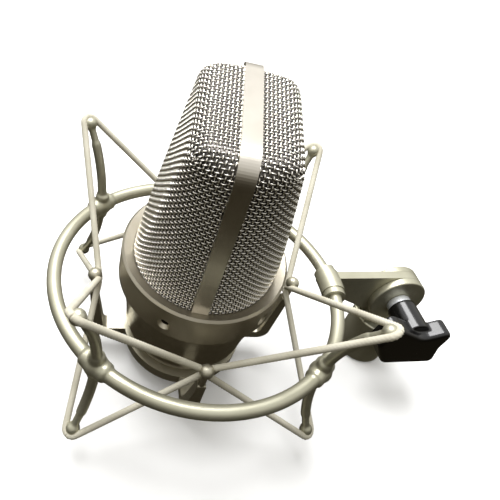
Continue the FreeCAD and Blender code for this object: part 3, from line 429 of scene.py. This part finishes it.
def woven_wires(x_sign):
    """Rows and columns of one half as lists of (crossings, first sign); signs alternate along a wire."""
    side, top = QUARTER
    rows, columns = [], []
    for i in range(LAST_ROW + 1):
        shown = side[i][side[i, :, 0] > UNDER_BAND]
        points = np.concatenate([mirror(shown[:0:-1], x_sign, -1), mirror(shown, x_sign, 1)])
        rows.append((points, -1 if (i + len(shown)) % 2 else 1))
    for j in range(CORNER):
        for y_sign in (1, -1) if j else (1,):
            points = np.concatenate([side[:, j], top[:, j]])
            columns.append((mirror(points, x_sign, y_sign), -1 if j % 2 else 1))
    for j in range(CORNER, SIDE_COLUMNS):
        up = side[:, j][side[:, j, 0] > UNDER_BAND]
        first = -1 if j % 2 else 1
        if j > TOP_COLUMN:
            for y_sign in (1, -1):
                columns.append((mirror(up, x_sign, y_sign), first))
            continue
        across = top[j - CORNER]
        halfway = np.concatenate([side[:, j], across[::-1]])
        points = np.concatenate([mirror(halfway, x_sign, 1), mirror(halfway[-2::-1], x_sign, -1)])
        columns.append((points, first))
    return rows, columns


def wire_tubes(wires, radius):
    """Tubes that run over and under along the wires: their vertices, faces and painted crown shade per vertex."""
    turn = ring_turns(WIRE_SIDES)
    vertices, faces, crown_shade, start = [], [], [], 0
    for crossings, first in wires:
        if len(crossings) < 2:
            continue
        count = (len(crossings) - 1) * WIRE_STEPS + 1
        along = np.arange(count) / WIRE_STEPS
        cell = np.minimum(along.astype(int), len(crossings) - 2)
        part = (along - cell)[:, None]
        middle = on_head(crossings[cell] * (1 - part) + crossings[cell + 1] * part, passes=2)
        normal = head_normal(middle)
        rise = first * np.cos(math.pi * along)
        path = middle + normal * (CROWN * rise)[:, None]
        tangent = unit(np.gradient(path, axis=0))
        across = unit(np.cross(tangent, normal))
        outward = np.cross(across, tangent)
        circle = across[:, None] * np.cos(turn)[:, None] + outward[:, None] * np.sin(turn)[:, None]
        vertices.append((path[:, None] + circle * radius).reshape(-1, 3))
        # painted shade in the dips, painted highlight on the crowns
        crown_shade.append(np.repeat((1 + rise) / 2, WIRE_SIDES))
        faces.append(start + tube_quads(count, WIRE_SIDES))
        start += count * WIRE_SIDES
    return np.concatenate(vertices), np.concatenate(faces).tolist(), np.concatenate(crown_shade)


def build_screen(half, x_sign):
    """Fine dark gauze under the weave, following it at an even distance."""
    side, top = QUARTER
    net = np.concatenate([side[:, :CORNER], top[:, :CORNER]])
    seam = np.stack([top[:, CORNER - 1], side[LAST_ROW, CORNER:CORNER + len(top)]])
    vertices, faces = [], []
    for sheet in (net, side[:, CORNER - 1:], seam):
        sheet = sheet - head_normal(sheet) * SCREEN_GAP
        for y_sign in (1, -1):
            grid = mirror(sheet, x_sign, y_sign)
            start = len(vertices)
            height, width = grid.shape[:2]
            vertices.extend(grid.reshape(-1, 3))
            for i in range(height - 1):
                for j in range(width - 1):
                    at = start + i * width + j
                    faces.append([at, at + 1, at + width + 1, at + width])
    piece = new_piece(f"screen_skin_{half}", placed(HEAD, vertices), faces, GAUZE)
    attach(piece, "microphone")
    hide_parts(f"screen_{half}")


def build_weave(half, family, wires, radius):
    """The rows or the columns of one half as one piece."""
    vertices, faces, crown_shade = wire_tubes(wires, radius)
    piece = new_piece(f"woven_{half}_{family}", placed(HEAD, vertices), faces, WIRE)
    piece.data.attributes.new(CROWN_SHADE, "FLOAT", "POINT").data.foreach_set("value", crown_shade)
    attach(piece, "microphone")
    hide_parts(f"grille_{half}")


QUARTER = merged_nets()
for half, x_sign in (("front", 1), ("rear", -1)):
    build_screen(half, x_sign)
    rows, columns = woven_wires(x_sign)
    build_weave(half, "rows", rows, ROW_WIRE_R)
    build_weave(half, "columns", columns, COLUMN_WIRE_R)


# ======================================================================================================
# Pieces reworked from their CAD meshes: the suspension's casting and the knob with soft joints, and the
# band with eased edges
# ======================================================================================================
CASTING_CELL = 0.00042
CASTING_SMOOTHING = 18
CASTING_SWELL = 0.00026        # makes up for what the smoothing takes off
KNOB_CELL = 0.00030
KNOB_SMOOTHING = 26
SMOOTHING_FACTOR = 0.5
BAND_EASE = 0.0003             # bevel along the band's edges
BAND_EASE_SEGMENTS = 2
BAND_EASE_ANGLE = 0.8          # in radians; edges that turn less than this stay as they are
CASTING_NODES = ["ring_tube"] + [f"{kind}_{k}" for kind in ("strut", "knuckle") for k in range(1, ARMS + 1)]


def skin_over(name, nodes, material, slot, body, *modifiers):
    """One piece made over some CAD nodes: their meshes joined in place, then reworked by modifiers."""
    vertices, faces = [], []
    for node in nodes:
        source = frame["nodes"][node]
        start = len(vertices)
        vertices.extend(source.matrix_world @ vertex.co for vertex in source.data.vertices)
        faces.extend([start + index for index in polygon.vertices] for polygon in source.data.polygons)
    mesh = bpy.data.meshes.new(name)
    mesh.from_pydata(vertices, [], faces)
    piece = bpy.data.objects.new(name, mesh)
    bpy.context.scene.collection.objects.link(piece)
    for kind, settings in modifiers:
        modifier = piece.modifiers.new(kind, kind)
        for key, value in settings.items():
            setattr(modifier, key, value)
    mesh = bpy.data.meshes.new_from_object(piece.evaluated_get(bpy.context.evaluated_depsgraph_get()))
    piece.modifiers.clear()
    piece.data = mesh
    mesh.materials.clear()
    mesh.materials.append(material)
    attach(piece, body)
    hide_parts(*nodes)
    return mesh


soften(skin_over(
    "suspension_casting", CASTING_NODES, FRAME_SATIN, "satin_nickel", "frame",
    ("REMESH", {"mode": "VOXEL", "voxel_size": CASTING_CELL}),
    ("DISPLACE", {"strength": CASTING_SWELL, "mid_level": 0.0}),
    ("SMOOTH", {"factor": SMOOTHING_FACTOR, "iterations": CASTING_SMOOTHING}),
))
soften(skin_over(
    "knob_moulding", ["clamp_knob"], BLACK_GLOSS, "knob_black", "clamp_knob",
    ("REMESH", {"mode": "VOXEL", "voxel_size": KNOB_CELL}),
    ("SMOOTH", {"factor": SMOOTHING_FACTOR, "iterations": KNOB_SMOOTHING}),
))
# the band takes the lighter copy of the satin nickel, its extra brightness painted light
skin_over(
    "band_eased", ["grille_band"], BAND_SATIN_LIT, "satin_nickel", "microphone",
    ("BEVEL", {"width": BAND_EASE, "segments": BAND_EASE_SEGMENTS,
               "limit_method": "ANGLE", "angle_limit": BAND_EASE_ANGLE}),
)


# ======================================================================================================
# Elastic loops, in millimetres: braided cord over the strut balls and round the necks of the cradle's
# arms. Each loop is made of runs that stretch between the frame and the cradle.
# ======================================================================================================
CORD_R = 1.2
CORD_STEP = 0.3                # between the rings of the cord's tube
CORD_SIDES = 16
CORD_EASING = 6                # smoothing passes over the cord's path
CORD_START_SIDE = (0.3, 0.2, 0.9)
BRAID_PITCH = 1.2              # length of one diamond of the braid
BRAID_STRANDS = 4
BRAID_DEPTH = 0.07             # share of the cord's radius
STRUT_TOP = (64.5, 33.8)       # radius and height of the struts' upper balls, from the ring's centre
STRUT_BOTTOM = (61.4, -32.0)   # the same for their lower balls
STRUT_WRAP_R = 2.75            # cord centre from a strut ball's centre
ARM_NECK_RADIUS = 38.3         # an arm's neck from the microphone's axis
ARM_WRAP_R = 1.6               # cord centre from the neck's centre
UPPER_LOOP_DROP = 2.0          # how far each loop passes below the centres of the cradle's balls
LOWER_LOOP_DROP = 4.6
WRAP_STEPS = 8                 # points on each half of a wrap


def polar(radius, azimuth, z=0.0):
    """Point at a radius and an azimuth in degrees about the Z axis."""
    angle = math.radians(azimuth)
    return np.array([radius * math.cos(angle), radius * math.sin(angle), z])


def hung(point):
    """A point of the suspended microphone's own frame, in the row frame; both in millimetres."""
    return placed(HANG, point) / MM


def arc_points(centre, first, middle, last, radius):
    """Points on a circle from one direction through another to a third."""
    points = []
    for a, b in ((first, middle), (middle, last)):
        angle = math.acos(np.clip(a.dot(b), -1, 1))
        for k in range(WRAP_STEPS):
            t = k / WRAP_STEPS
            way = (a * math.sin((1 - t) * angle) + b * math.sin(t * angle)) / math.sin(angle)
            points.append(centre + radius * way)
    points.append(centre + radius * last)
    return points


def ball_wrap(centre, before, after):
    """Points over the outside of a strut ball, tangent to the runs from before and to after."""
    to_before, to_after = before - centre, after - centre
    outward = -unit(unit(to_before) + unit(to_after))
    normal = unit(np.cross(to_before, to_after))
    touches = []
    for way in (to_before, to_after):
        direction = unit(way - normal * way.dot(normal))
        sideways = unit(outward - direction * outward.dot(direction))
        opening = math.acos(STRUT_WRAP_R / np.linalg.norm(way))
        touches.append(direction * math.cos(opening) + sideways * math.sin(opening))
    return arc_points(centre, touches[0], outward, touches[1], STRUT_WRAP_R)


def neck_wrap(centre, inward, before, after):
    """Points round the inner side of an arm's neck, tangent to the runs from before and to after."""
    axis = np.array(MIC_AXIS)
    touches = []
    for target in (before, after):
        way = target - centre
        side = unit(np.cross(axis, way - axis * way.dot(axis)))
        touches.append(side if side.dot(inward) > 0 else -side)
    middle = unit(inward - axis * inward.dot(axis))
    return arc_points(centre, touches[0], middle, touches[1], ARM_WRAP_R)


def loop_wraps(strut_ball, drop):
    """The turns of one loop, at an arm and at a strut by turns: (is a strut, points) in the row frame."""
    ring = np.array(RING_CENTRE) / MM
    radius, height = strut_ball
    arm_step = 360.0 / ARMS
    stations = []
    for k in range(ARMS):
        arm = FIRST_ARM + arm_step * k
        stations.append((False, hung(polar(ARM_NECK_RADIUS, arm, -drop)), polar(-1, arm)))
        stations.append((True, ring + polar(radius, arm + arm_step / 2, height), None))
    wraps = []
    for i, (is_strut, centre, inward) in enumerate(stations):
        before, after = stations[i - 1][1], stations[(i + 1) % len(stations)][1]
        if is_strut:
            wraps.append((True, ball_wrap(centre, before, after)))
        else:
            wraps.append((False, neck_wrap(centre, inward, before, after)))
    return wraps


def cord_tube(path):
    """Braided tube along a path in millimetres, closed at both ends; its points are in metres."""
    path = np.array(path)
    lengths = np.concatenate([[0], np.cumsum(np.linalg.norm(np.diff(path, axis=0), axis=1))])
    count = int(lengths[-1] / CORD_STEP) + 1
    along = np.linspace(0, lengths[-1], count)
    points = np.stack([np.interp(along, lengths, path[:, axis]) for axis in range(3)], 1)
    for _ in range(CORD_EASING):
        points[1:-1] = (points[:-2] + 2 * points[1:-1] + points[2:]) / 4
    tangent = unit(np.gradient(points, axis=0))
    side = unit(np.cross(tangent[0], CORD_START_SIDE))
    turn = ring_turns(CORD_SIDES)
    strands = BRAID_STRANDS * turn / 2
    vertices = []
    for place, ahead, at in zip(points, tangent, along):
        side = unit(side - ahead * side.dot(ahead))
        up = np.cross(ahead, side)
        phase = math.pi * at / BRAID_PITCH
        weave = np.abs(np.cos(strands + phase) * np.cos(strands - phase))
        radius = CORD_R * (1 - BRAID_DEPTH + 2 * BRAID_DEPTH * weave)
        circle = np.cos(turn)[:, None] * side + np.sin(turn)[:, None] * up
        vertices.append(place + radius[:, None] * circle)
    last = (count - 1) * CORD_SIDES
    caps = [list(range(CORD_SIDES))[::-1], list(range(last, last + CORD_SIDES))]
    return np.concatenate(vertices) * MM, tube_quads(count, CORD_SIDES).tolist() + caps


def build_elastic(name, strut_ball, drop):
    """One loop: its runs, each from the middle of one turn to the middle of the next."""
    wraps = loop_wraps(strut_ball, drop)
    for i, (is_strut, points) in enumerate(wraps):
        following = wraps[(i + 1) % len(wraps)][1]
        path = points[len(points) // 2:] + following[:len(following) // 2 + 1]
        vertices, faces = cord_tube(path)
        piece = new_piece(f"{name}_run_{i + 1}", vertices, faces, CORD)
        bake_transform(piece)
        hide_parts(name)


build_elastic("upper_elastic", STRUT_TOP, UPPER_LOOP_DROP)
build_elastic("lower_elastic", STRUT_BOTTOM, LOWER_LOOP_DROP)


# ======================================================================================================
# Camera, light, floor and sky
# ======================================================================================================
VIEW_AZIMUTH = -22.0           # in degrees, like the two below
VIEW_ELEVATION = 42.52
VIEW_ROLL = 16.37
VIEW_DISTANCE = 0.2067         # camera from the ring's centre, against the line of view
VIEW_RIGHT = -0.00229          # and sideways and upwards in the picture
VIEW_UP = 0.01617
LENS = 39.13                   # focal length in millimetres
SHIFT_X = 0.11
SHIFT_Y = -0.024
CLIP_START = 0.005

# name, place from the ring's centre, diameter and power in watts
LIGHTS = (
    ("overhead", (-0.1, 0.3, 0.9), 0.7, 13.0),
    ("left_rear", (-0.7, 0.3, 0.7), 0.4, 1.0),
)

FLOOR_GAP = 0.0004             # under the lowest point of the object
# radius and height of the floor's rings, from the edge of its flat middle outwards
FLOOR_OUTLINE = ((2.6, 0.0), (3.0, 0.08), (3.3, 0.3), (3.5, 0.7), (3.6, 1.6), (3.6, 4.0))
FLOOR_SPOKES = 48
FLOOR_TONES = ((0.88, 0.88, 0.88), (0.9, 0.9, 0.9))
FLOOR_PATCHES = 3.0            # scale of the faint patches of tone
FLOOR_ROUGHNESS = 0.9
FLOOR_SPECULAR = 0.1
FLOOR_GLOW = 0.05

# The sky's colour along its axis, from straight below at 0 to straight above at 1
SKY_AXIS = (0.0, 0.26, 0.966)
SKY = (
    (0.0, (0.035, 0.029, 0.018, 1)),
    (0.28, (0.04, 0.034, 0.022, 1)),
    (0.42, (0.08, 0.07, 0.05, 1)),
    (0.54, (0.26, 0.245, 0.205, 1)),
    (0.68, (0.66, 0.65, 0.60, 1)),
    (0.80, (0.90, 0.89, 0.86, 1)),
    (1.0, (0.95, 0.95, 0.93, 1)),
)


def make_camera():
    """Camera that looks down on the microphone, rolled about its line of view."""
    azimuth, elevation, roll = (math.radians(a) for a in (VIEW_AZIMUTH, VIEW_ELEVATION, VIEW_ROLL))
    level_reach = math.cos(elevation)
    back = Vector((math.sin(azimuth) * level_reach, -math.cos(azimuth) * level_reach, math.sin(elevation)))
    level = Vector((0, 0, 1)).cross(back).normalized()
    above = back.cross(level)
    right = level * math.cos(roll) + above * math.sin(roll)
    up = above * math.cos(roll) - level * math.sin(roll)
    data = bpy.data.cameras.new("camera")
    data.lens = LENS
    data.shift_x = SHIFT_X
    data.shift_y = SHIFT_Y
    data.clip_start = CLIP_START
    camera = bpy.data.objects.new("camera", data)
    camera.matrix_world = Matrix((right, up, back)).transposed().to_4x4()
    camera.location = RING_CENTRE + right * VIEW_RIGHT + up * VIEW_UP + back * VIEW_DISTANCE
    bpy.context.scene.collection.objects.link(camera)
    bpy.context.scene.camera = camera


def make_light(name, offset, size, power):
    """Round lamp aimed at the ring's centre."""
    data = bpy.data.lights.new(name, "AREA")
    data.shape = "DISK"
    data.size = size
    data.energy = power
    lamp = bpy.data.objects.new(name, data)
    lamp.location = RING_CENTRE + Vector(offset)
    lamp.rotation_euler = (-Vector(offset)).to_track_quat("-Z", "Y").to_euler()
    bpy.context.scene.collection.objects.link(lamp)


def make_floor():
    """Pale sheet under the object that sweeps up far away from it; it is left out of reflections."""
    material, nodes, links, shader = new_material("pale_floor")
    shader.inputs["Roughness"].default_value = FLOOR_ROUGHNESS
    shader.inputs["Specular IOR Level"].default_value = FLOOR_SPECULAR
    shader.inputs["Emission Color"].default_value = (1, 1, 1, 1)
    shader.inputs["Emission Strength"].default_value = FLOOR_GLOW
    tone = ramp(nodes, links, noise(nodes, links, FLOOR_PATCHES), *FLOOR_TONES)
    links.new(tone, shader.inputs["Base Color"])
    ground = cad_low[2] - FLOOR_GAP
    vertices = [(0, 0, ground)]
    for radius, height in FLOOR_OUTLINE:
        for turn in ring_turns(FLOOR_SPOKES):
            vertices.append((radius * math.cos(turn), radius * math.sin(turn), ground + height))
    faces = [(0, 1 + k, 1 + (k + 1) % FLOOR_SPOKES) for k in range(FLOOR_SPOKES)]
    faces += (1 + tube_quads(len(FLOOR_OUTLINE), FLOOR_SPOKES)).tolist()
    mesh = bpy.data.meshes.new("floor")
    mesh.from_pydata(vertices, [], faces)
    soften(mesh)
    mesh.materials.append(material)
    sheet = bpy.data.objects.new("floor", mesh)
    sheet.visible_glossy = False
    sheet.visible_diffuse = False
    bpy.context.scene.collection.objects.link(sheet)


def make_world():
    """Sky bright overhead and a little behind the object, dim and warm at camera height."""
    world = bpy.data.worlds.new("studio")
    world.use_nodes = True
    nodes, links = world.node_tree.nodes, world.node_tree.links
    where = nodes.new("ShaderNodeTexCoord")
    height = nodes.new("ShaderNodeVectorMath")
    height.operation = "DOT_PRODUCT"
    height.inputs[1].default_value = SKY_AXIS
    links.new(where.outputs["Generated"], height.inputs[0])
    fraction = nodes.new("ShaderNodeMapRange")
    fraction.inputs["From Min"].default_value = -1.0
    links.new(height.outputs["Value"], fraction.inputs["Value"])
    tone = nodes.new("ShaderNodeValToRGB")
    elements = tone.color_ramp.elements
    elements[0].position, elements[0].color = SKY[0]
    elements[1].position, elements[1].color = SKY[-1]
    for position, colour in SKY[1:-1]:
        elements.new(position).color = colour
    links.new(fraction.outputs["Result"], tone.inputs["Fac"])
    links.new(tone.outputs["Color"], nodes["Background"].inputs["Color"])
    bpy.context.scene.world = world


make_camera()
for name, offset, size, power in LIGHTS:
    make_light(name, offset, size, power)
make_floor()
make_world()
bpy.context.scene.view_settings.view_transform = "Standard"
